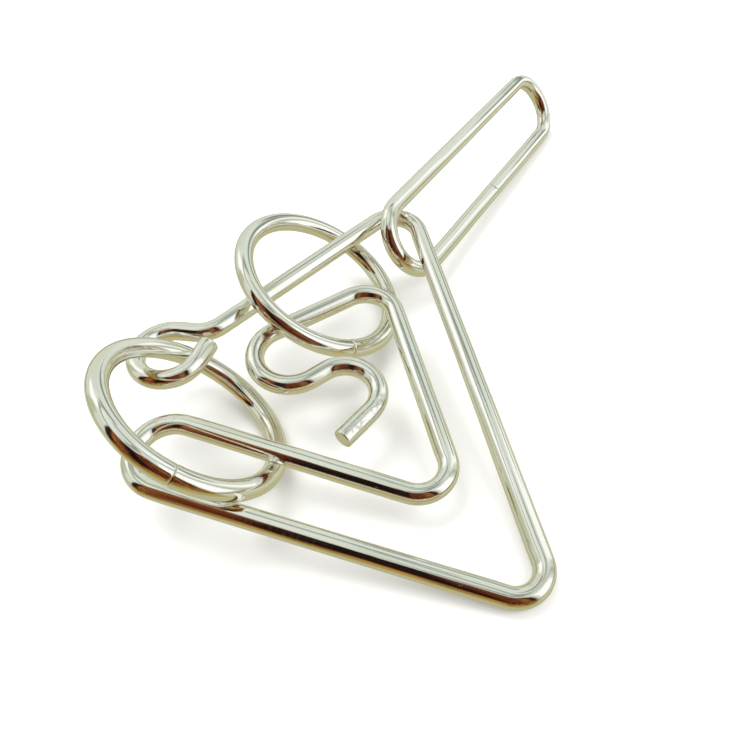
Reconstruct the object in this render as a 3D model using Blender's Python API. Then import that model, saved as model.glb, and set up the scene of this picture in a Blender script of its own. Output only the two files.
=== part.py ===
"""Nested-triangle wire puzzle: one long bent wire, two rings and a long closed loop.

Blender 4.5, metres, +Z up. The set lies on a table, linked together: the triangle wire is
propped up on the two rings that thread it, on one corner and on the loop hooked round its
far corner. +X runs along the triangle's near side and +Y towards its far corner. The origin
is under the middle of the whole set, on the table.

Wire-plane frame: the triangle wire is laid out flat in its own plane, x along the near side
and y towards the far corner, and the links are placed in that frame. The empty "rest_pose"
then tips the whole set the few degrees at which it lies on the table.
"""
import math

import bmesh
import bpy
from mathutils import Matrix, Quaternion, Vector

MM = 0.001

# ---- Wire stock -------------------------------------------------------------------------
TRIANGLE_WIRE = 2.8 * MM    # diameter of the long bent wire
LINK_WIRE = 2.8 * MM        # diameter of the rings' and the loop's wire
CUT_CHAMFER = 0.2 * MM      # broken edge on the two cut ends
BUTT_GAP = 0.12 * MM        # hairline left where a ring's or the loop's ends meet

# ---- Triangle wire: the jig it is bent on, in the wire plane -------------------------------
# The wire's centreline is the tight path round these pegs, so each peg is one bend:
# (what it bends, x, y, bend radius at the centreline, side), lengths in mm, with side +1
# where the wire turns left and -1 where it turns right, going from the eye's end.
EYE_END = (14.9, 22.6)
BEND_PEGS = (
    ("eye", 10.0, 19.8, 4.7, -1),
    ("neck of the eye", 10.3, 29.3, 4.6, 1),
    ("outer far corner", 32.9, 52.6, 4.2, -1),
    ("outer near corner", 61.3, 3.8, 3.6, -1),
    ("hairpin", 17.2, 5.4, 4.8, -1),
    ("inner near corner", 47.4, 13.3, 4.0, 1),
    ("inner far corner", 33.8, 34.8, 4.5, 1),
    ("hook", 26.0, 25.0, 5.1, 1),
    ("hump", 35.2, 21.1, 4.6, -1),
)
HOOK_END = (37.2, 14.1)
FAR_CORNER = 2              # the peg that the long loop swings round
EYE_RISE = 1.5 * MM         # the eye is wound as a slight helix, its cut end this much higher

# ---- Rings ---------------------------------------------------------------------------------
# A ring leans through the wire: tilt is its lean from the wire plane, and downhill is the
# direction in which it slopes down, from the x axis. Seam is where its butt joint sits, round
# the ring from downhill.
RING_RADIUS = 12.5 * MM
RINGS = {
    "left_ring": {"centre": (18.56, 10.52, 2.75), "tilt": 42.9, "downhill": 47.9, "seam": 233.0},
    "upper_ring": {"centre": (24.95, 40.03, -0.72), "tilt": 30.3, "downhill": 23.8, "seam": 288.0},
}

# ---- Long loop -----------------------------------------------------------------------------
LOOP_LENGTH = 50.0 * MM     # between the centres of its two round ends
LOOP_HALF_WIDTH = 5.7 * MM  # centreline radius of each round end
LOOP_NEAR_CENTRE = (35.7, 55.09, -1.21)
LOOP_HEADING = 76.7         # in the wire plane, from the x axis
LOOP_DROP = 6.02            # its far end slopes down by this much
LOOP_ROLL = 49.0            # it is turned about its length, one strand over the triangle wire

# ---- How the set lies on the table ------------------------------------------------------------
TABLE_UP = (-0.1133, 0.0902, 0.9895)    # the table's upward normal, in the wire-plane frame

# ---- Facets ----------------------------------------------------------------------------------
WIRE_SIDES = 16
ARC_STEP = math.radians(12.0)
RING_STEPS = 36
SHARP_ANGLE = math.radians(50.0)


def clear_scene():
    """Remove every object that the file holds."""
    for obj in list(bpy.data.objects):
        bpy.data.objects.remove(obj, do_unlink=True)


def make_material(name, colour, roughness):
    """A bright metal with its own colour and polish."""
    material = bpy.data.materials.new(name)
    material.use_nodes = True
    shader = material.node_tree.nodes["Principled BSDF"]
    shader.inputs["Base Color"].default_value = (*colour, 1.0)
    shader.inputs["Metallic"].default_value = 1.0
    shader.inputs["Roughness"].default_value = roughness
    material.diffuse_color = (*colour, 1.0)
    return material


# ---- Centrelines --------------------------------------------------------------------------------
def tangent_run(circle_a, circle_b):
    """Heading and both end points of the straight run between two pegs."""
    (centre_a, radius_a, side_a), (centre_b, radius_b, side_b) = circle_a, circle_b
    span = centre_b - centre_a
    offset = (side_b * radius_b - side_a * radius_a) / span.length
    heading = math.atan2(span.y, span.x) - math.asin(offset)
    left = Vector((-math.sin(heading), math.cos(heading)))
    return heading, centre_a - side_a * radius_a * left, centre_b - side_b * radius_b * left


def peg_path(start, pegs, end):
    """Points along the tight path round the pegs, and how many lie up to the first bend's end."""
    circles = [(Vector(start) * MM, 0.0, 1)]
    circles += [(Vector((x, y)) * MM, radius * MM, side) for _, x, y, radius, side in pegs]
    circles.append((Vector(end) * MM, 0.0, 1))
    runs = [tangent_run(a, b) for a, b in zip(circles, circles[1:])]
    points = [runs[0][1]]
    first_bend_end = 0
    for number, (centre, radius, side) in enumerate(circles[1:-1]):
        heading = runs[number][0]
        turn = (runs[number + 1][0] - heading) % math.tau
        if side < 0:
            turn -= math.tau
        steps = math.ceil(abs(turn) / ARC_STEP)
        for step in range(steps + 1):
            angle = heading + turn * step / steps
            left = Vector((-math.sin(angle), math.cos(angle)))
            points.append(centre - side * radius * left)
        if number == 0:
            first_bend_end = len(points)
    points.append(runs[-1][2])
    return points, first_bend_end


def triangle_centreline():
    """The bent wire's centreline, flat but for the slight helix of its eye."""
    points, eye_count = peg_path(EYE_END, BEND_PEGS, HOOK_END)
    travelled = [0.0]
    for a, b in zip(points, points[1:]):
        travelled.append(travelled[-1] + (b - a).length)
    eye_length = travelled[eye_count - 1]
    centreline = []
    for point, distance in zip(points, travelled):
        along = min(distance / eye_length, 1.0)
        fall = along * along * (3.0 - 2.0 * along)
        centreline.append(Vector((point.x, point.y, EYE_RISE * (1.0 - fall))))
    return centreline


def ring_centreline(seam):
    """A ring's centreline round the z axis, open by the hairline at its butt joint."""
    half_gap = BUTT_GAP / RING_RADIUS / 2.0
    first = math.radians(seam) + half_gap
    sweep = math.tau - 2.0 * half_gap
    angles = [first + sweep * step / RING_STEPS for step in range(RING_STEPS + 1)]
    return [RING_RADIUS * Vector((math.cos(a), math.sin(a), 0.0)) for a in angles]


def loop_centreline():
    """The long loop from the middle of its low strand, round both ends and back again."""
    middle = LOOP_LENGTH / 2.0
    points = [Vector((middle - BUTT_GAP / 2.0, -LOOP_HALF_WIDTH, 0.0))]
    steps = round(math.pi / ARC_STEP)
    for centre_x, first in ((0.0, -math.pi / 2.0), (LOOP_LENGTH, math.pi / 2.0)):
        for step in range(steps + 1):
            angle = first - math.pi * step / steps
            round_end = Vector((math.cos(angle), math.sin(angle), 0.0)) * LOOP_HALF_WIDTH
            points.append(Vector((centre_x, 0.0, 0.0)) + round_end)
    points.append(Vector((middle + BUTT_GAP / 2.0, -LOOP_HALF_WIDTH, 0.0)))
    return points


# ---- Round wire along a centreline ------------------------------------------------------------------
def add_section(mesh, centre, across, upward, radius):
    """One ring of vertices round the centreline."""
    section = []
    for side in range(WIRE_SIDES):
        angle = math.tau * side / WIRE_SIDES
        spoke = across * math.cos(angle) + upward * math.sin(angle)
        section.append(mesh.verts.new(centre + spoke * radius))
    return section


def wire_mesh(name, centreline, diameter, chamfer=0.0):
    """A solid round wire along the centreline, cut square at both ends."""
    mesh = bmesh.new()
    radius = diameter / 2.0
    last = len(centreline) - 1
    tangent = (centreline[1] - centreline[0]).normalized()
    upward = Vector((0.0, 0.0, 1.0))
    upward = (upward - tangent * upward.dot(tangent)).normalized()
    sections = []
    for number, centre in enumerate(centreline):
        before = centreline[max(number - 1, 0)]
        after = centreline[min(number + 1, last)]
        into = (centre - before).normalized() if number else (after - centre).normalized()
        out_of = (after - centre).normalized() if number < last else into
        tangent = (into + out_of).normalized()
        upward = (upward - tangent * upward.dot(tangent)).normalized()
        across = tangent.cross(upward)
        if chamfer and number == 0:
            sections.append(add_section(mesh, centre, across, upward, radius - chamfer))
            centre = centre + tangent * chamfer
        if chamfer and number == last:
            shoulder = centre - tangent * chamfer
            sections.append(add_section(mesh, shoulder, across, upward, radius))
            sections.append(add_section(mesh, centre, across, upward, radius - chamfer))
        else:
            sections.append(add_section(mesh, centre, across, upward, radius))
    for one, other in zip(sections, sections[1:]):
        for side in range(WIRE_SIDES):
            following = (side + 1) % WIRE_SIDES
            mesh.faces.new((one[side], one[following], other[following], other[side]))
    mesh.faces.new(sections[0])
    mesh.faces.new(sections[-1])
    bmesh.ops.recalc_face_normals(mesh, faces=mesh.faces)
    data = bpy.data.meshes.new(name)
    mesh.to_mesh(data)
    mesh.free()
    data.shade_smooth()
    data.set_sharp_from_angle(angle=SHARP_ANGLE)
    return data


def place(name, data, material, parent, placement):
    """Make the named object of one piece and put it in the wire-plane frame."""
    data.materials.append(material)
    obj = bpy.data.objects.new(name, data)
    bpy.context.scene.collection.objects.link(obj)
    obj.parent = parent
    obj.matrix_local = placement
    return obj


# ---- The four pieces -----------------------------------------------------------------------------------
def build_triangle_wire(parent):
    """The one long wire that makes both nested triangles, the eye and the hook."""
    material = make_material("bright_nickel_triangle", (0.80, 0.79, 0.74), 0.10)
    data = wire_mesh("triangle_wire", triangle_centreline(), TRIANGLE_WIRE, CUT_CHAMFER)
    return place("triangle_wire", data, material, parent, Matrix.Identity(4))


def build_ring(name, parent, material):
    """A round ring, its origin on the line in which it crosses the wire plane."""
    settings = RINGS[name]
    centre = Vector(settings["centre"]) * MM
    tilt = math.radians(settings["tilt"])
    turn = Matrix.Rotation(math.radians(settings["downhill"]), 4, "Z")
    turn = turn @ Matrix.Rotation(tilt, 4, "Y")
    to_crossing = centre.z / math.sin(tilt)
    crossing = centre + turn.to_3x3() @ Vector((to_crossing, 0.0, 0.0))
    points = ring_centreline(settings["seam"])
    data = wire_mesh(name, points, LINK_WIRE)
    data.transform(Matrix.Translation((-to_crossing, 0.0, 0.0)))
    return place(name, data, material, parent, Matrix.Translation(crossing) @ turn)


def build_long_loop(parent):
    """The long closed loop, its origin on the line that it swings about at the far corner."""
    material = make_material("bright_nickel_loop", (0.84, 0.83, 0.79), 0.12)
    _, x, y, _, _ = BEND_PEGS[FAR_CORNER]
    pivot = Vector((x, y, 0.0)) * MM
    turn = Matrix.Rotation(math.radians(LOOP_HEADING), 4, "Z")
    turn = turn @ Matrix.Rotation(math.radians(LOOP_DROP), 4, "Y")
    turn = turn @ Matrix.Rotation(math.radians(LOOP_ROLL), 4, "X")
    near_centre = Vector(LOOP_NEAR_CENTRE) * MM
    data = wire_mesh("long_loop", loop_centreline(), LINK_WIRE)
    data.transform(Matrix.Translation(turn.to_3x3().inverted() @ (near_centre - pivot)))
    return place("long_loop", data, material, parent, Matrix.Translation(pivot) @ turn)


def lay_on_table(rest_pose, pieces):
    """Tip the set onto the table and bring the middle of its footprint over the origin."""
    tip = Vector(TABLE_UP).normalized().rotation_difference(Vector((0.0, 0.0, 1.0)))
    rest_pose.rotation_mode = "QUATERNION"
    rest_pose.rotation_quaternion = tip
    bpy.context.view_layer.update()
    corners = [piece.matrix_world @ vert.co for piece in pieces for vert in piece.data.vertices]
    lows = [min(corner[axis] for corner in corners) for axis in range(3)]
    highs = [max(corner[axis] for corner in corners) for axis in range(3)]
    middle_x = (lows[0] + highs[0]) / 2.0
    middle_y = (lows[1] + highs[1]) / 2.0
    rest_pose.location = (-middle_x, -middle_y, -lows[2])
    bpy.context.view_layer.update()


def main():
    """Build the four pieces and lay them on the table."""
    clear_scene()
    rest_pose = bpy.data.objects.new("rest_pose", None)
    bpy.context.scene.collection.objects.link(rest_pose)
    ring_materials = {
        "left_ring": make_material("bright_nickel_left_ring", (0.82, 0.81, 0.75), 0.11),
        "upper_ring": make_material("bright_nickel_upper_ring", (0.82, 0.81, 0.76), 0.11),
    }
    pieces = [build_triangle_wire(rest_pose)]
    pieces += [build_ring(name, rest_pose, ring_materials[name]) for name in RINGS]
    pieces.append(build_long_loop(rest_pose))
    lay_on_table(rest_pose, pieces)


main()
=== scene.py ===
"""Looks of the nested-triangle wire puzzle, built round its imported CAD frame.

Each CAD wire is stood for by a smooth sweep of the same centreline, with the small marks of
bending and cutting, and is finished as bright nickel plate. Centrelines are in mm, in the
plane of the triangle wire, which is then tipped onto the table as the CAD's is. Everything
that reaches the scene is in metres, +Z up, in the CAD's frame.
"""
import math

import bmesh
import bpy
from mathutils import Matrix, Vector, noise


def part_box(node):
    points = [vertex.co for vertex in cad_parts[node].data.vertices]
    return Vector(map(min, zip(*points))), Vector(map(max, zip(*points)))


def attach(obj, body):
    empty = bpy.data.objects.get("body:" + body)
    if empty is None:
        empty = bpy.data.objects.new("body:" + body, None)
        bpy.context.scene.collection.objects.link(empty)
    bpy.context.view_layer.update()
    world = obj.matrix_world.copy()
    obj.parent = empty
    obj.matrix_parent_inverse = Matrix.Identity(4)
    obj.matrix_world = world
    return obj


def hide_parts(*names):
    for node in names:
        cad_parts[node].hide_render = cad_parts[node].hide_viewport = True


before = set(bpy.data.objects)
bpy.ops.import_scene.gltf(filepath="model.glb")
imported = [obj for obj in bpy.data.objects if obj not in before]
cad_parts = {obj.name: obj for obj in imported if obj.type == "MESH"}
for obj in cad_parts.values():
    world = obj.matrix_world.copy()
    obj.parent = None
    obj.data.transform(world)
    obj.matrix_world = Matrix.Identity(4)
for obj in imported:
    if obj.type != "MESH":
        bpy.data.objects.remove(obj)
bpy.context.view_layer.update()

MM = 0.001
UP = Vector((0.0, 0.0, 1.0))

# ---- Shape of the set, in mm and degrees in the wire plane, the same as the CAD's --------------
TRIANGLE_WIRE = 2.8
LINK_WIRE = 2.8
CUT_CHAMFER = 0.2

EYE_END = (14.9, 22.6)
BEND_PEGS = (                   # x, y, radius, and 1 where the wire bends left or -1 right
    (10.0, 19.8, 4.7, -1),      # eye
    (10.3, 29.3, 4.6, 1),       # neck of the eye
    (32.9, 52.6, 4.2, -1),      # outer far corner
    (61.3, 3.8, 3.6, -1),       # outer near corner
    (17.2, 5.4, 4.8, -1),       # hairpin
    (47.4, 13.3, 4.0, 1),       # inner near corner
    (33.8, 34.8, 4.5, 1),       # inner far corner
    (26.0, 25.0, 5.1, 1),       # hook
    (35.2, 21.1, 4.6, -1),      # hump
)
HOOK_END = (37.2, 14.1)
EYE_RISE = 1.5

RINGS = {
    "left_ring": {"centre": (18.56, 10.52, 2.75), "tilt": 42.9, "downhill": 47.9, "seam": 233.0},
    "upper_ring": {"centre": (24.95, 40.03, -0.72), "tilt": 30.3, "downhill": 23.8, "seam": 288.0},
}

LOOP_LENGTH = 50.0
LOOP_HALF_WIDTH = 5.7
LOOP_NEAR_CENTRE = (35.7, 55.09, -1.21)
LOOP_HEADING = 76.7
LOOP_DROP = 6.02
LOOP_ROLL = 49.0

TABLE_UP = (-0.1133, 0.0902, 0.9895)

# ---- What the smooth wires add to the CAD's, in mm -----------------------------------------------
RING_RADIUS = 12.465            # between the corners and the flats of the CAD's faceted ring
SKIN = 0.018                    # how far the round wire stays inside the facets' circle
BUTT_GAP = 0.024                # hairline where a ring's or the loop's two ends meet
BUTT_VALLEY = (0.28, 0.10)      # length and depth of the rounding on each side of it
BUTT_SPRING = 0.05              # how far a ring's first end stands inside its round
SPRING_REACH = 3.0              # length over which it comes back
SPRING_SHARE = 0.2              # share of that spring at the ring's other end
BEND_FLATTENING = 0.035         # share of its thickness that the wire loses in a bend
BEND_EASE = 1.6                 # length over which a bend's strength fades in
WAVER = 0.035                   # how far a straight run wavers
WAVER_PACE = (0.11, 0.13)       # steps in the noise for each mm, across and up
WAVER_LANE = 7.7                # from the noise of one direction to the other's
WAVER_EASE = 4.0                # length at each end in which the waver fades
CAP_RINGS = (0.94, 0.8, 0.6, 0.38, 0.18)    # rings of a cut face, as shares of its radius
CAP_HOLLOW = 0.035              # depth of a cut face's middle
CAP_LEAN = 0.05                 # extra depth on the side where the shear came in

# Dents left by the bending jaws: (mm in from the cut end, radians round the wire, size, depth).
HOOK_DENTS = (
    (4.6, 1.9, 0.55, 0.05),
    (5.6, 2.3, 0.45, 0.045),
    (6.4, 1.7, 0.5, 0.04),
    (7.6, 2.1, 0.4, 0.03),
    (30.0, 4.6, 0.6, 0.05),
)
EYE_DENTS = ((8.0, 4.2, 0.7, 0.04),)
DENT_REACH = 4.0                # square of the distance, in sizes, past which a dent is nothing
DENT_STEEPNESS = 2.0

# Each wire's own place in the noises: that of its waver, and that of its finish.
SEEDS = {
    "triangle_wire": (3.1, 1.0),
    "left_ring": (11.0, 2.0),
    "upper_ring": (16.0, 3.0),
    "long_loop": (29.0, 5.0),
}

# ---- Fineness of the sweeps ----------------------------------------------------------------------
SIDES = 48
BEND_STEP = math.radians(3.0)
RING_STEP = math.radians(2.0)
RUN_STEP = 0.8
ROUNDING_STEPS = 5
SHARP_ANGLE = math.radians(40.0)

# ---- Finish. A noise is (scale, detail, roughness), per mm of wire, and a window is the noise's --
# ---- values where an effect starts and is full, then how much it is at each (0 and 1 if unsaid) --
TRIANGLE_TINT = (0.90, 0.893, 0.865)
RING_TINT = (0.90, 0.893, 0.86)
LOOP_TINT = (0.905, 0.90, 0.88)
WARM_SHARE = (0.97, 0.95, 0.86)
TARNISH_SHARE = (0.80, 0.70, 0.50)
PIT_COLOUR = (0.46, 0.43, 0.34, 1.0)
SEED_SHIFT = (37.0, 11.0, 5.0)

CLOUD_NOISE = (0.22, 3.0, 0.5)
CLOUD_WINDOW = (0.35, 0.72, 0.0, 0.55)
WEAR_NOISE = (0.8, 4.0, 0.5)
WEAR_WINDOW = (0.52, 0.75)
WEAR_AMOUNT = 0.35
DRAWN_STRETCH = (0.12, 9.0, 9.0)            # along, across and up: fine lines along the wire
DRAWN_NOISE = (1.0, 4.0, 0.6)
DRAWN_ROUGHNESS = (0.30, 0.75, 0.045, 0.12)
RUB_STRETCH = (7.0, 0.35, 0.35)             # marks round the wire
RUB_NOISE = (1.0, 3.0, 0.6)
RUB_WINDOW = (0.52, 0.72)
RUB_PATCH_NOISE = (0.09, 1.0, 0.5)
RUB_PATCH_WINDOW = (0.50, 0.64)
PEEL_NOISE = (1.7, 2.0, 0.5)
PIT_SCALE = 1.1
PIT_EDGE = (0.05, 0.11, 1.0, 0.0)
PIT_CHOICE_NOISE = (0.9, 0.0, 0.5)
PIT_CHOICE_WINDOW = (0.60, 0.66)
PIT_AMOUNT = 0.3
SPECK_NOISE = (1.7, 3.0, 0.7)
SPECK_WINDOW = (0.55, 0.62)
SPECKS_FROM_END = 9.0                       # mm of wire at the hook's end that is specked
SPECKS_EASE = 1.5

RUB_ROUGHNESS = 0.14
BEND_ROUGHNESS = 0.02
PIT_ROUGHNESS = 0.3
DRAWN_HEIGHT = 0.9
PEEL_HEIGHT = 0.9
RUB_DEPTH = 0.25
PIT_DEPTH = 2.5
NICKEL_BUMP = (0.35, 0.000012)              # strength, and distance in metres

SHEARED_METALLIC = 0.72
SHEARED_DARK = (0.72, 0.71, 0.53, 1.0)
SHEARED_LIGHT = (0.88, 0.86, 0.70, 1.0)
SHEARED_CLOUD_NOISE = (1.6, 3.0, 0.5)
SHEAR_STRETCH = (1.0, 0.9, 9.0)
SHEAR_NOISE = (1.0, 4.0, 0.65)
SHEARED_ROUGHNESS = (0.3, 0.7, 0.34, 0.52)
SHEARED_BUMP = (0.6, 0.00004)

# ---- Camera: mm and degrees in the wire plane ----------------------------------------------------
CAMERA_PLACE = (54.89, -29.03, 77.6)
CAMERA_YAW = 17.07              # to the left of the triangle's upright
CAMERA_PITCH = 53.84            # down from the wire plane
CAMERA_LENS = 33.6
SENSOR_WIDTH = 36.0
CAMERA_CLIP = (0.005, 20.0)     # metres

# ---- Floor, lamps and studio, in metres ----------------------------------------------------------
FLOOR_RADIUS = 3.0
FLOOR_SIDES = 96
FLOOR_COLOUR = (0.88, 0.88, 0.87, 1.0)
FLOOR_ROUGHNESS = 0.9
BACKDROP_COLOUR = (0.96, 0.96, 0.95, 1.0)
LAMP_SIZE = 0.5
LAMP_AIM = (0.0, 0.0, 0.005)
LAMPS = (                       # name, place, watts
    ("lamp_left", (-0.35, 0.20, 0.60), 3.2),
    ("lamp_right", (0.45, -0.10, 0.55), 2.2),
)

# What the polished wires mirror, hung round the set: (bearing from the camera's side, height,
# half width, half height, softness, display colour), in degrees. Later patches cover earlier ones.
STUDIO = (
    (112.0, 66.0, 64.0, 22.0, 16.0, (219, 225, 213)),     # bright sheet over the left
    (128.0, 48.0, 16.0, 22.0, 6.0, (255, 255, 255)),      # soft box at the far left
    (106.0, 14.0, 9.0, 26.0, 8.0, (184, 188, 160)),       # its grey-green surround
    (-150.0, 38.0, 22.0, 36.0, 14.0, (214, 221, 211)),    # pale screen beyond the far right
    (-67.0, 24.0, 18.0, 30.0, 6.0, (255, 255, 255)),      # soft box at the right
    (-96.0, 30.0, 3.5, 40.0, 5.0, (172, 178, 164)),       # grey gap beside it
    (-118.0, 20.0, 9.0, 34.0, 6.0, (250, 252, 246)),      # tall strip at the far right
    (-70.0, 73.0, 90.0, 4.0, 4.0, (142, 150, 142)),       # grey seam overhead
    (100.0, 62.0, 60.0, 3.5, 4.0, (152, 161, 149)),       # thin seam in the bright sheet
    (-170.0, 60.0, 24.0, 5.0, 5.0, (138, 146, 136)),      # bar across the far window
    (-142.0, 20.0, 22.0, 6.0, 6.0, (128, 138, 132)),      # shadow low on the far screen
    (180.0, -8.0, 110.0, 4.0, 5.0, (142, 146, 124)),      # dark edge of the far table
    (-80.0, -8.0, 60.0, 4.0, 5.0, (146, 146, 120)),       # and of the near right
    (17.0, -20.0, 62.0, 16.0, 14.0, (170, 154, 100)),     # olive table before the camera
    (17.0, -6.0, 60.0, 10.0, 9.0, (142, 110, 50)),        # its darker far edge
    (17.0, 32.0, 59.0, 32.0, 5.0, (130, 80, 42)),         # brown wall behind the camera
    (71.0, 30.0, 6.0, 28.0, 4.0, (34, 20, 12)),           # door frames at the wall's two ends
    (-36.0, 34.0, 5.0, 26.0, 4.0, (30, 17, 10)),
    (16.0, 33.0, 32.0, 29.0, 8.0, (92, 44, 20)),          # red-brown stand before it
    (27.0, 36.0, 12.0, 25.0, 5.0, (24, 15, 9)),           # the dark camera
)
STUDIO_HEIGHTS = (              # height in degrees and display colour of the studio's own round
    (-50.0, (180, 177, 140)),
    (-18.0, (198, 199, 171)),
    (4.0, (208, 211, 194)),
    (45.0, (206, 213, 202)),
    (82.0, (206, 213, 202)),
)
STUDIO_STRENGTH = 1.12
STREAKED_BELOW = 0.5            # a patch whose linear red, green and blue add to less is streaked
STREAK_STRETCH = (13.0, 13.0, 2.2)
STREAK_NOISE = (1.0, 3.0, 0.65)
STREAK_WINDOW = (0.40, 0.60, 0.45, 1.5)


# ---- Places --------------------------------------------------------------------------------------
def wire_plane_to_table():
    """The turn that tips the wire plane onto the table, as the CAD lays it."""
    tip = Vector(TABLE_UP).normalized().rotation_difference(UP)
    return tip.to_matrix().to_4x4()


def table_shift(tip, points, low, high):
    """The move that brings the tipped centreline's middle to the CAD wire's middle."""
    tipped = [tip @ (point * MM) for point in points]
    shift = []
    for axis in range(3):
        values = [point[axis] for point in tipped]
        shift.append((low[axis] + high[axis]) / 2.0 - (min(values) + max(values)) / 2.0)
    return Vector(shift)


def ring_turn(settings):
    """How a ring leans: by its tilt, towards its downhill direction."""
    heading = Matrix.Rotation(math.radians(settings["downhill"]), 3, "Z")
    return heading @ Matrix.Rotation(math.radians(settings["tilt"]), 3, "Y")


def loop_turn():
    """How the long loop lies: its heading, its slope to the table and its roll on its length."""
    turn = Matrix.Rotation(math.radians(LOOP_HEADING), 3, "Z")
    turn = turn @ Matrix.Rotation(math.radians(LOOP_DROP), 3, "Y")
    return turn @ Matrix.Rotation(math.radians(LOOP_ROLL), 3, "X")


# ---- Centrelines ---------------------------------------------------------------------------------
def distances(points):
    """The length travelled along the points, at each of them."""
    travelled = [0.0]
    for a, b in zip(points, points[1:]):
        travelled.append(travelled[-1] + (b - a).length)
    return travelled


def soften(bends, travelled):
    """Bend strength eased over a short length on both sides of where each bend starts."""
    eased = []
    for here in travelled:
        total = weight_sum = 0.0
        for there, bend in zip(travelled, bends):
            if abs(there - here) < BEND_EASE:
                weight = 1.0 - abs(there - here) / BEND_EASE
                total += weight * bend
                weight_sum += weight
        eased.append(total / weight_sum)
    return eased


def tangent_run(circle_a, circle_b):
    """Heading and both end points of the straight run between two pegs."""
    (centre_a, radius_a, side_a), (centre_b, radius_b, side_b) = circle_a, circle_b
    span = centre_b - centre_a
    offset = (side_b * radius_b - side_a * radius_a) / span.length
    heading = math.atan2(span.y, span.x) - math.asin(offset)
    left = Vector((-math.sin(heading), math.cos(heading)))
    return heading, centre_a - side_a * radius_a * left, centre_b - side_b * radius_b * left


def raise_eye(flat, travelled, eye_length):
    """The wire's points in space: its first end stands highest, and eases down over the eye."""
    points = []
    for point, distance in zip(flat, travelled):
        along = min(distance / eye_length, 1.0)
        fall = along * along * (3.0 - 2.0 * along)
        points.append(Vector((point.x, point.y, EYE_RISE * (1.0 - fall))))
    return points


def triangle_centreline():
    """Points of the bent wire, and how sharply it bends at each: 0 straight, 1 left, -1 right."""
    circles = [(Vector(EYE_END), 0.0, 1)]
    circles += [(Vector((x, y)), radius, side) for x, y, radius, side in BEND_PEGS]
    circles.append((Vector(HOOK_END), 0.0, 1))
    runs = [tangent_run(a, b) for a, b in zip(circles, circles[1:])]
    flat, bends, eye_count = [], [], 0
    for number, (heading, start, end) in enumerate(runs):
        pieces = max(2, round((end - start).length / RUN_STEP))
        for step in range(pieces):
            flat.append(start.lerp(end, step / pieces))
            bends.append(0.0)
        if number == len(runs) - 1:
            flat.append(end)
            bends.append(0.0)
            break
        centre, radius, side = circles[number + 1]
        turn = (runs[number + 1][0] - heading) % math.tau
        if side < 0:
            turn -= math.tau
        steps = math.ceil(abs(turn) / BEND_STEP)
        for step in range(steps):
            angle = heading + turn * step / steps
            left = Vector((-math.sin(angle), math.cos(angle)))
            flat.append(centre - side * radius * left)
            bends.append(float(side))
        if number == 0:
            eye_count = len(flat)
    travelled = distances(flat)
    return raise_eye(flat, travelled, travelled[eye_count]), soften(bends, travelled)


def ring_centreline(settings):
    """Points of a ring, open by the hairline at its butt joint."""
    turn = ring_turn(settings)
    half_gap = BUTT_GAP / RING_RADIUS / 2.0
    first = math.radians(settings["seam"]) + half_gap
    sweep = math.tau - 2.0 * half_gap
    steps = math.ceil(sweep / RING_STEP)
    points = []
    for step in range(steps + 1):
        angle = first + sweep * step / steps
        from_end = min(angle - first, first + sweep - angle) * RING_RADIUS
        sprung = BUTT_SPRING * max(0.0, 1.0 - from_end / SPRING_REACH) ** 2
        if step >= steps / 2:
            sprung *= SPRING_SHARE
        spoke = Vector((math.cos(angle), math.sin(angle), 0.0)) * (RING_RADIUS - sprung)
        points.append(Vector(settings["centre"]) + turn @ spoke)
    return points


def loop_centreline():
    """Points of the long loop, from the middle of its low strand right round to it again."""
    turn = loop_turn()
    middle = LOOP_LENGTH / 2.0
    flat, bends = [], []

    def run(x_from, x_to, y):
        pieces = round(abs(x_to - x_from) / RUN_STEP)
        for step in range(pieces):
            flat.append(Vector((x_from + (x_to - x_from) * step / pieces, y, 0.0)))
            bends.append(0.0)

    def round_end(centre_x, first):
        steps = round(math.pi / BEND_STEP)
        for step in range(steps):
            angle = first - math.pi * step / steps
            spoke = Vector((math.cos(angle), math.sin(angle), 0.0)) * LOOP_HALF_WIDTH
            flat.append(Vector((centre_x, 0.0, 0.0)) + spoke)
            bends.append(-1.0)

    run(middle - BUTT_GAP / 2.0, 0.0, -LOOP_HALF_WIDTH)
    round_end(0.0, -math.pi / 2.0)
    run(0.0, LOOP_LENGTH, LOOP_HALF_WIDTH)
    round_end(LOOP_LENGTH, math.pi / 2.0)
    run(LOOP_LENGTH, middle + BUTT_GAP / 2.0, -LOOP_HALF_WIDTH)
    flat.append(Vector((middle + BUTT_GAP / 2.0, -LOOP_HALF_WIDTH, 0.0)))
    bends.append(0.0)
    centre = Vector(LOOP_NEAR_CENTRE)
    return [centre + turn @ point for point in flat], soften(bends, distances(flat))


# ---- Round wire swept along a centreline ---------------------------------------------------------
def frames_along(points, plane_normal):
    """Tangent, across and upward direction at each point, carried along without twisting."""
    last = len(points) - 1
    upward = Vector(plane_normal)
    frames = []
    for number in range(len(points)):
        before = points[max(number - 1, 0)]
        after = points[min(number + 1, last)]
        tangent = (after - before).normalized()
        upward = (upward - tangent * upward.dot(tangent)).normalized()
        frames.append((tangent, tangent.cross(upward), upward.copy()))
    return frames


def end_rounding(length, depth):
    """How the radius grows from a cut face inwards: (distance in, radius lost)."""
    rounding = []
    for step in range(ROUNDING_STEPS + 1):
        angle = math.pi / 2.0 * step / ROUNDING_STEPS
        rounding.append((length * (1.0 - math.cos(angle)), depth * (1.0 - math.sin(angle))))
    return rounding


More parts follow.
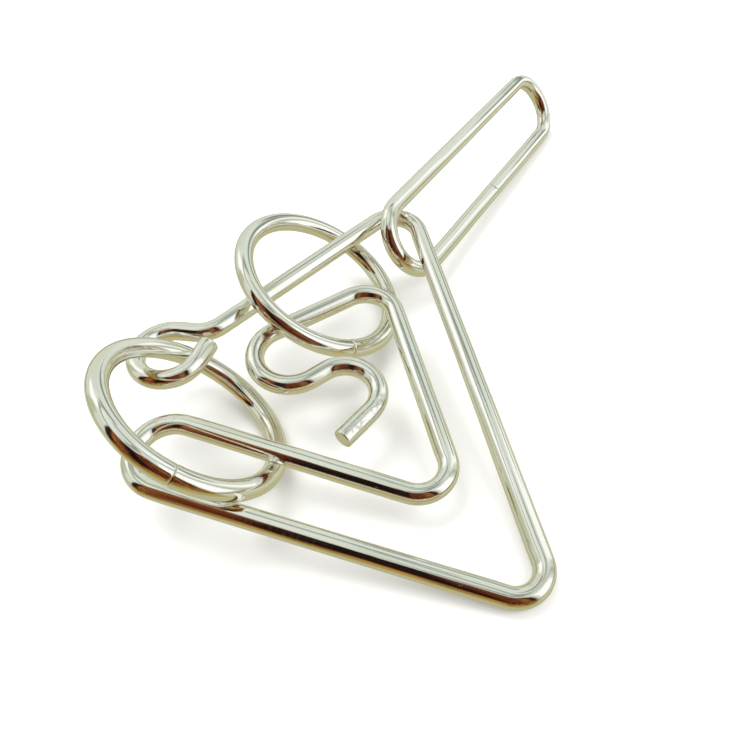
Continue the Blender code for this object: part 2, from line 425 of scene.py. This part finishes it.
class Sweep:
    """One round wire in the making.

    Every vertex remembers its place on the wire as if that were straight, in mm, for the
    finish to follow: wire_space is (along, across, up), and bend_strength is 0 to 1.
    """

    def __init__(self, radius, length, to_world, seed, dents):
        self.radius = radius
        self.length = length
        self.to_world = to_world
        self.seed = seed
        self.dents = dents
        self.mesh = bmesh.new()
        self.wire_space = self.mesh.verts.layers.float_vector.new("wire_space")
        self.bend_strength = self.mesh.verts.layers.float.new("bend_strength")

    def wavered(self, centre, basis, along, bend):
        """The section's centre, moved as a drawn wire is never quite straight."""
        across, upward = basis[1:]
        calm = 1.0 - abs(bend)
        sway = WAVER * calm * min(1.0, along / WAVER_EASE, (self.length - along) / WAVER_EASE)
        drift_a = sway * noise.noise(Vector((along * WAVER_PACE[0], self.seed, 0.0)))
        drift_b = sway * noise.noise(Vector((along * WAVER_PACE[1], self.seed, WAVER_LANE)))
        return centre + across * drift_a + upward * drift_b

    def section(self, centre, basis, along, bend, lost):
        """A ring of vertices round the wire, flattened by its bend and dented by the jaws."""
        across, upward = basis[1:]
        middle = self.wavered(centre, basis, along, bend)
        flat = 1.0 - BEND_FLATTENING * abs(bend)
        reach = self.radius - lost
        ring = []
        for side in range(SIDES):
            angle = math.tau * side / SIDES
            x, y = math.cos(angle) * reach * flat, math.sin(angle) * reach
            for dent_along, dent_angle, size, depth in self.dents:
                away = along - dent_along
                round_away = (angle - dent_angle + math.pi) % math.tau - math.pi
                spread = (away / size) ** 2 + (round_away * self.radius / size) ** 2
                if spread < DENT_REACH:
                    bite = depth * math.exp(-DENT_STEEPNESS * spread)
                    x -= math.cos(angle) * bite
                    y -= math.sin(angle) * bite
            vert = self.mesh.verts.new(self.to_world @ ((middle + across * x + upward * y) * MM))
            vert[self.wire_space] = Vector((along, math.cos(angle) * reach, math.sin(angle) * reach))
            vert[self.bend_strength] = abs(bend)
            ring.append(vert)
        return ring

    def skin(self, one, other, material_index=0):
        """The faces between two rings of vertices."""
        for side in range(SIDES):
            following = (side + 1) % SIDES
            face = self.mesh.faces.new((one[side], one[following], other[following], other[side]))
            face.material_index = material_index

    def cap(self, rim, basis, facing):
        """Close a cut end with a sheared face: nearly flat, a little hollow on one side."""
        centre = sum((vert.co for vert in rim), Vector()) / len(rim)
        turned = self.to_world.to_3x3()
        inward = (turned @ basis[0]).normalized() * facing
        last = rim
        for share in CAP_RINGS:
            ring = []
            for vert in rim:
                spoke = vert.co - centre
                lean = (turned @ basis[1]).dot(spoke) / spoke.length
                depth = (1.0 - share) * CAP_HOLLOW + (1.0 - share) * share * CAP_LEAN * lean
                made = self.mesh.verts.new(centre + spoke * share + inward * max(depth, 0.0) * MM)
                place = vert[self.wire_space]
                made[self.wire_space] = Vector((place.x, place.y * share, place.z * share))
                ring.append(made)
            self.skin(last, ring, 1)
            last = ring
        face = self.mesh.faces.new(last)
        face.material_index = 1

    def finished(self, name):
        """The swept mesh, closed and shaded smooth."""
        bmesh.ops.recalc_face_normals(self.mesh, faces=self.mesh.faces)
        data = bpy.data.meshes.new(name)
        self.mesh.to_mesh(data)
        self.mesh.free()
        data.shade_smooth()
        data.set_sharp_from_angle(angle=SHARP_ANGLE)
        return data


def build_wire(name, points, bends, diameter, to_world, plane_normal, rounding, seed, dents=()):
    """A smooth solid wire with its cut ends, flattened bends, slight waver and jaw dents."""
    frames = frames_along(points, plane_normal)
    travelled = distances(points)
    total = travelled[-1]
    sweep = Sweep(diameter / 2.0 - SKIN, total, to_world, seed, dents)
    rounded_length = rounding[0]
    head, tail = frames[0], frames[-1]
    sections = []
    for inward, lost in end_rounding(*rounding):
        centre = points[0] + head[0] * inward
        sections.append(sweep.section(centre, head, inward, bends[0], lost))
    for number in range(1, len(points) - 1):
        if rounded_length < travelled[number] < total - rounded_length:
            along, bend = travelled[number], bends[number]
            sections.append(sweep.section(points[number], frames[number], along, bend, 0.0))
    for inward, lost in reversed(end_rounding(*rounding)):
        centre = points[-1] - tail[0] * inward
        sections.append(sweep.section(centre, tail, total - inward, bends[-1], lost))
    for one, other in zip(sections, sections[1:]):
        sweep.skin(one, other)
    sweep.cap(sections[0], head, 1.0)
    sweep.cap(sections[-1], tail, -1.0)
    return sweep.finished(name)


# ---- Materials -----------------------------------------------------------------------------------
class Nodes:
    """Short calls for building a material's or the world's nodes."""

    def __init__(self, tree):
        self.tree = tree

    def set(self, node, key, value):
        """Give an input a constant, or link another node's output to it."""
        socket = node.inputs[key]
        if isinstance(value, bpy.types.NodeSocket):
            self.tree.links.new(value, socket)
        else:
            socket.default_value = value

    def attribute(self, name):
        node = self.tree.nodes.new("ShaderNodeAttribute")
        node.attribute_name = name
        return node.outputs

    def math(self, operation, a, b=0.0):
        node = self.tree.nodes.new("ShaderNodeMath")
        node.operation = operation
        self.set(node, 0, a)
        self.set(node, 1, b)
        return node.outputs[0]

    def window(self, value, low, high, to_low=0.0, to_high=1.0):
        """Smooth step of value, from to_low below low to to_high above high."""
        node = self.tree.nodes.new("ShaderNodeMapRange")
        node.interpolation_type = "SMOOTHSTEP"
        self.set(node, "Value", value)
        self.set(node, "From Min", low)
        self.set(node, "From Max", high)
        self.set(node, "To Min", to_low)
        self.set(node, "To Max", to_high)
        return node.outputs["Result"]

    def shifted(self, vector, shift):
        node = self.tree.nodes.new("ShaderNodeVectorMath")
        node.operation = "ADD"
        self.set(node, 0, vector)
        self.set(node, 1, shift)
        return node.outputs[0]

    def stretched(self, vector, scale):
        node = self.tree.nodes.new("ShaderNodeMapping")
        self.set(node, "Vector", vector)
        self.set(node, "Scale", scale)
        return node.outputs["Vector"]

    def noise(self, vector, scale, detail, roughness):
        node = self.tree.nodes.new("ShaderNodeTexNoise")
        self.set(node, "Vector", vector)
        self.set(node, "Scale", scale)
        self.set(node, "Detail", detail)
        self.set(node, "Roughness", roughness)
        return node.outputs["Fac"]

    def mix(self, factor, a, b):
        """A colour between a and b; the node keeps its colour inputs at 6 and 7."""
        node = self.tree.nodes.new("ShaderNodeMix")
        node.data_type = "RGBA"
        self.set(node, 0, factor)
        self.set(node, 6, a)
        self.set(node, 7, b)
        return node.outputs[2]

    def bump(self, height, strength, distance):
        node = self.tree.nodes.new("ShaderNodeBump")
        self.set(node, "Height", height)
        self.set(node, "Strength", strength)
        self.set(node, "Distance", distance)
        return node.outputs["Normal"]


def new_material(name):
    """A material with nodes, its short calls and its shader."""
    material = bpy.data.materials.new(name)
    material.use_nodes = True
    tree = material.node_tree
    return material, Nodes(tree), tree.nodes["Principled BSDF"]


def shaded(tint, share):
    """A tint with each channel multiplied, as a node's colour."""
    return (*(channel * part for channel, part in zip(tint, share)), 1.0)


def nickel_pits(nodes, place):
    """Where the plating has a small pit: a few of the cells' centres."""
    cells = nodes.tree.nodes.new("ShaderNodeTexVoronoi")
    cells.feature = "F1"
    nodes.set(cells, "Scale", PIT_SCALE)
    nodes.set(cells, "Vector", place)
    pit = nodes.window(cells.outputs["Distance"], *PIT_EDGE)
    chosen = nodes.window(nodes.noise(place, *PIT_CHOICE_NOISE), *PIT_CHOICE_WINDOW)
    return nodes.math("MULTIPLY", pit, chosen)


def end_specks(nodes, wire_space, place, start):
    """Small blotches in the plating, on the wire from start onwards."""
    split = nodes.tree.nodes.new("ShaderNodeSeparateXYZ")
    nodes.set(split, "Vector", wire_space)
    near = nodes.window(split.outputs["X"], start, start + SPECKS_EASE)
    speck = nodes.window(nodes.noise(place, *SPECK_NOISE), *SPECK_WINDOW)
    return nodes.math("MULTIPLY", near, speck)


def bright_nickel(name, tint, seed, specks_from=None):
    """Polished nickel plate: drawing lines along the wire, rub marks round it, small pits."""
    material, nodes, shader = new_material(name)
    wire_space = nodes.attribute("wire_space")["Vector"]
    bend = nodes.attribute("bend_strength")["Fac"]
    place = nodes.shifted(wire_space, tuple(seed * step for step in SEED_SHIFT))

    cloud = nodes.noise(place, *CLOUD_NOISE)
    drawn = nodes.noise(nodes.stretched(place, DRAWN_STRETCH), *DRAWN_NOISE)
    rubbed = nodes.noise(nodes.stretched(place, RUB_STRETCH), *RUB_NOISE)
    rub_here = nodes.window(nodes.noise(place, *RUB_PATCH_NOISE), *RUB_PATCH_WINDOW)
    rub = nodes.math("MULTIPLY", nodes.window(rubbed, *RUB_WINDOW), rub_here)
    peel = nodes.noise(place, *PEEL_NOISE)
    pit = nickel_pits(nodes, place)
    if specks_from is not None:
        pit = nodes.math("MAXIMUM", pit, end_specks(nodes, wire_space, place, specks_from))

    worn = nodes.window(nodes.noise(place, *WEAR_NOISE), *WEAR_WINDOW)
    worn = nodes.math("MULTIPLY", nodes.math("MULTIPLY", worn, bend), WEAR_AMOUNT)
    colour = nodes.mix(nodes.window(cloud, *CLOUD_WINDOW), (*tint, 1.0), shaded(tint, WARM_SHARE))
    colour = nodes.mix(worn, colour, shaded(tint, TARNISH_SHARE))
    colour = nodes.mix(nodes.math("MULTIPLY", pit, PIT_AMOUNT), colour, PIT_COLOUR)

    rough = nodes.window(drawn, *DRAWN_ROUGHNESS)
    rough = nodes.math("ADD", rough, nodes.math("MULTIPLY", rub, RUB_ROUGHNESS))
    rough = nodes.math("ADD", rough, nodes.math("MULTIPLY", bend, BEND_ROUGHNESS))
    rough = nodes.math("ADD", rough, nodes.math("MULTIPLY", pit, PIT_ROUGHNESS))

    height = nodes.math("MULTIPLY", drawn, DRAWN_HEIGHT)
    height = nodes.math("ADD", height, nodes.math("MULTIPLY", peel, PEEL_HEIGHT))
    height = nodes.math("SUBTRACT", height, nodes.math("MULTIPLY", rub, RUB_DEPTH))
    height = nodes.math("SUBTRACT", height, nodes.math("MULTIPLY", pit, PIT_DEPTH))

    nodes.set(shader, "Base Color", colour)
    nodes.set(shader, "Metallic", 1.0)
    nodes.set(shader, "Roughness", rough)
    nodes.set(shader, "Normal", nodes.bump(height, *NICKEL_BUMP))
    return material


def sheared_face(name):
    """A cut end under its plating: duller, yellower, with the shear's parallel lines."""
    material, nodes, shader = new_material(name)
    place = nodes.attribute("wire_space")["Vector"]
    lines = nodes.noise(nodes.stretched(place, SHEAR_STRETCH), *SHEAR_NOISE)
    cloud = nodes.noise(place, *SHEARED_CLOUD_NOISE)
    nodes.set(shader, "Base Color", nodes.mix(cloud, SHEARED_DARK, SHEARED_LIGHT))
    nodes.set(shader, "Metallic", SHEARED_METALLIC)
    nodes.set(shader, "Roughness", nodes.window(lines, *SHEARED_ROUGHNESS))
    nodes.set(shader, "Normal", nodes.bump(lines, *SHEARED_BUMP))
    return material


def pale_floor():
    """The floor's plain matt white."""
    material, nodes, shader = new_material("pale_floor")
    nodes.set(shader, "Base Color", FLOOR_COLOUR)
    nodes.set(shader, "Roughness", FLOOR_ROUGHNESS)
    return material


# ---- The pieces ----------------------------------------------------------------------------------
def link_object(name, data):
    """A new object in the scene."""
    made = bpy.data.objects.new(name, data)
    bpy.context.scene.collection.objects.link(made)
    return made


def show(name, data, finish, face, body, node):
    """Put one finished wire in the scene, riding on its CAD body in its node's place."""
    data.materials.append(finish)
    data.materials.append(face)
    wire = link_object(name, data)
    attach(wire, body)
    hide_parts(node)


def build_triangle(to_world, points, bends, face):
    """The bent wire of both triangles, from the eye's cut end to the hook's."""
    length = distances(points)[-1]
    dents = tuple((length - along, *rest) for along, *rest in HOOK_DENTS) + EYE_DENTS
    waver_seed, finish_seed = SEEDS["triangle_wire"]
    data = build_wire("triangle_wire_polished", points, bends, TRIANGLE_WIRE,
                      to_world, UP, (CUT_CHAMFER, CUT_CHAMFER), waver_seed, dents)
    specks_from = length - SPECKS_FROM_END
    finish = bright_nickel("nickel_triangle", TRIANGLE_TINT, finish_seed, specks_from)
    show("triangle_wire_polished", data, finish, face,
         "triangle", "triangle_wire")


def build_ring(name, settings, to_world, face):
    """One of the two loose rings, whose even bend leaves its section round."""
    points = ring_centreline(settings)
    no_bends = [0.0] * len(points)
    waver_seed, finish_seed = SEEDS[name]
    data = build_wire(f"{name}_polished", points, no_bends, LINK_WIRE,
                      to_world, ring_turn(settings) @ UP, BUTT_VALLEY, waver_seed)
    finish = bright_nickel(f"nickel_{name}", RING_TINT, finish_seed)
    show(f"{name}_polished", data, finish, face, name, name)


def build_loop(to_world, face):
    """The long loop."""
    points, bends = loop_centreline()
    waver_seed, finish_seed = SEEDS["long_loop"]
    data = build_wire("long_loop_polished", points, bends, LINK_WIRE,
                      to_world, loop_turn() @ UP, BUTT_VALLEY, waver_seed)
    finish = bright_nickel("nickel_loop", LOOP_TINT, finish_seed)
    show("long_loop_polished", data, finish, face, "loop", "long_loop")


def build_pieces():
    """All four wires, placed as the CAD's are, and the transform from the wire plane."""
    tip = wire_plane_to_table()
    points, bends = triangle_centreline()
    low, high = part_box("triangle_wire")
    to_world = Matrix.Translation(table_shift(tip, points, low, high)) @ tip
    face = sheared_face("sheared_wire_end")
    build_triangle(to_world, points, bends, face)
    for name, settings in RINGS.items():
        build_ring(name, settings, to_world, face)
    build_loop(to_world, face)
    return to_world


# ---- Camera, studio and floor --------------------------------------------------------------------
def add_camera(to_world):
    """A close camera over the near side, looking down and away along the set."""
    yaw, pitch = math.radians(CAMERA_YAW), math.radians(CAMERA_PITCH)
    right = Vector((math.cos(yaw), math.sin(yaw), 0.0))
    level = Vector((-math.sin(yaw), math.cos(yaw), 0.0))
    forward = level * math.cos(pitch) - UP * math.sin(pitch)
    axes = Matrix((right, right.cross(forward), -forward)).transposed().to_4x4()
    data = bpy.data.cameras.new("camera")
    data.lens = CAMERA_LENS
    data.sensor_width = SENSOR_WIDTH
    data.clip_start, data.clip_end = CAMERA_CLIP
    camera = link_object("camera", data)
    camera.matrix_world = to_world @ Matrix.Translation(Vector(CAMERA_PLACE) * MM) @ axes
    bpy.context.scene.camera = camera
    return to_world.to_3x3() @ forward


def linear(red, green, blue):
    """A display colour, 0 to 255, as linear light."""
    made = []
    for value in (red, green, blue):
        share = value / 255.0
        made.append(share / 12.92 if share < 0.04045 else ((share + 0.055) / 1.055) ** 2.4)
    return (*made, 1.0)


def studio_round(nodes, height):
    """The studio's own colour, which changes only with height."""
    ramp = nodes.tree.nodes.new("ShaderNodeValToRGB")
    ramp.color_ramp.interpolation = "EASE"
    elements = ramp.color_ramp.elements
    for number, (level, colour) in enumerate(STUDIO_HEIGHTS):
        element = elements[number] if number < 2 else elements.new(1.0)
        element.position = (level + 90.0) / 180.0
        element.color = linear(*colour)
    share = nodes.math("DIVIDE", nodes.math("ADD", height, 90.0), 180.0)
    nodes.set(ramp, "Fac", share)
    return ramp.outputs["Color"]


def patch_cover(nodes, bearing, height, patch):
    """How much of a patch is seen at a bearing and height, from 0 to 1, soft at its edges."""
    centre, level, half_width, half_height, soft = patch
    turn = nodes.math("ABSOLUTE", nodes.math("SUBTRACT", bearing, centre))
    short_of_behind = nodes.math("ABSOLUTE", nodes.math("SUBTRACT", 180.0, turn))
    sideways = nodes.math("SUBTRACT", 180.0, short_of_behind)
    upright = nodes.math("ABSOLUTE", nodes.math("SUBTRACT", height, level))
    edge = soft / 2.0
    wide = nodes.window(sideways, half_width - edge, half_width + edge, 1.0, 0.0)
    tall = nodes.window(upright, half_height - edge, half_height + edge, 1.0, 0.0)
    return nodes.math("MULTIPLY", wide, tall)


def mirrored_studio(nodes, forward):
    """The colour that the wires mirror in each direction."""
    around = nodes.tree.nodes.new("ShaderNodeTexCoord")
    spin = nodes.tree.nodes.new("ShaderNodeVectorRotate")
    spin.rotation_type = "Z_AXIS"
    nodes.set(spin, "Angle", math.atan2(forward.x, forward.y))
    nodes.set(spin, "Vector", around.outputs["Generated"])
    direction = spin.outputs["Vector"]
    split = nodes.tree.nodes.new("ShaderNodeSeparateXYZ")
    nodes.set(split, "Vector", direction)
    x, y, z = split.outputs
    # Bearing 0 is where the camera stands, and it grows to the camera's left.
    back_x, back_y = nodes.math("MULTIPLY", x, -1.0), nodes.math("MULTIPLY", y, -1.0)
    bearing = nodes.math("DEGREES", nodes.math("ARCTAN2", back_x, back_y))
    height = nodes.math("DEGREES", nodes.math("ARCSINE", z))
    streaks = nodes.noise(nodes.stretched(direction, STREAK_STRETCH), *STREAK_NOISE)
    streaks = nodes.window(streaks, *STREAK_WINDOW)
    colour = studio_round(nodes, height)
    for *patch, display_colour in STUDIO:
        shade = linear(*display_colour)
        if sum(shade[:3]) < STREAKED_BELOW:
            streaked = nodes.tree.nodes.new("ShaderNodeVectorMath")
            streaked.operation = "SCALE"
            nodes.set(streaked, 0, shade[:3])
            nodes.set(streaked, "Scale", streaks)
            shade = streaked.outputs[0]
        colour = nodes.mix(patch_cover(nodes, bearing, height, patch), colour, shade)
    return colour


def add_world(forward):
    """A pale studio: plain to the camera, and mirrored by the wires with its lights and gaps."""
    world = bpy.data.worlds.new("studio")
    bpy.context.scene.world = world
    world.use_nodes = True
    tree = world.node_tree
    tree.nodes.clear()
    nodes = Nodes(tree)
    mirrored = tree.nodes.new("ShaderNodeBackground")
    nodes.set(mirrored, "Color", mirrored_studio(nodes, forward))
    nodes.set(mirrored, "Strength", STUDIO_STRENGTH)
    plain = tree.nodes.new("ShaderNodeBackground")
    nodes.set(plain, "Color", BACKDROP_COLOUR)
    nodes.set(plain, "Strength", 1.0)
    seen = tree.nodes.new("ShaderNodeLightPath")
    mixed = tree.nodes.new("ShaderNodeMixShader")
    nodes.set(mixed, 0, seen.outputs["Is Glossy Ray"])
    nodes.set(mixed, 1, plain.outputs[0])
    nodes.set(mixed, 2, mirrored.outputs[0])
    output = tree.nodes.new("ShaderNodeOutputWorld")
    nodes.set(output, "Surface", mixed.outputs[0])


def add_floor():
    """A plain pale floor, which the wires don't mirror: the studio stands for it there."""
    mesh = bmesh.new()
    bmesh.ops.create_circle(mesh, cap_ends=True, segments=FLOOR_SIDES, radius=FLOOR_RADIUS)
    data = bpy.data.meshes.new("floor")
    mesh.to_mesh(data)
    mesh.free()
    data.materials.append(pale_floor())
    floor = link_object("floor", data)
    floor.visible_glossy = False


def add_lamp(name, place, watts):
    """A large soft lamp that lights the floor and isn't itself mirrored."""
    data = bpy.data.lights.new(name, "AREA")
    data.shape = "DISK"
    data.size = LAMP_SIZE
    data.energy = watts
    lamp = link_object(name, data)
    lamp.location = place
    lamp.rotation_mode = "QUATERNION"
    lamp.rotation_quaternion = (Vector(LAMP_AIM) - Vector(place)).to_track_quat("-Z", "Y")
    lamp.visible_glossy = False


TO_WORLD = build_pieces()
FORWARD = add_camera(TO_WORLD)
add_world(FORWARD)
add_floor()
for lamp_settings in LAMPS:
    add_lamp(*lamp_settings)
bpy.context.scene.view_settings.view_transform = "Standard"
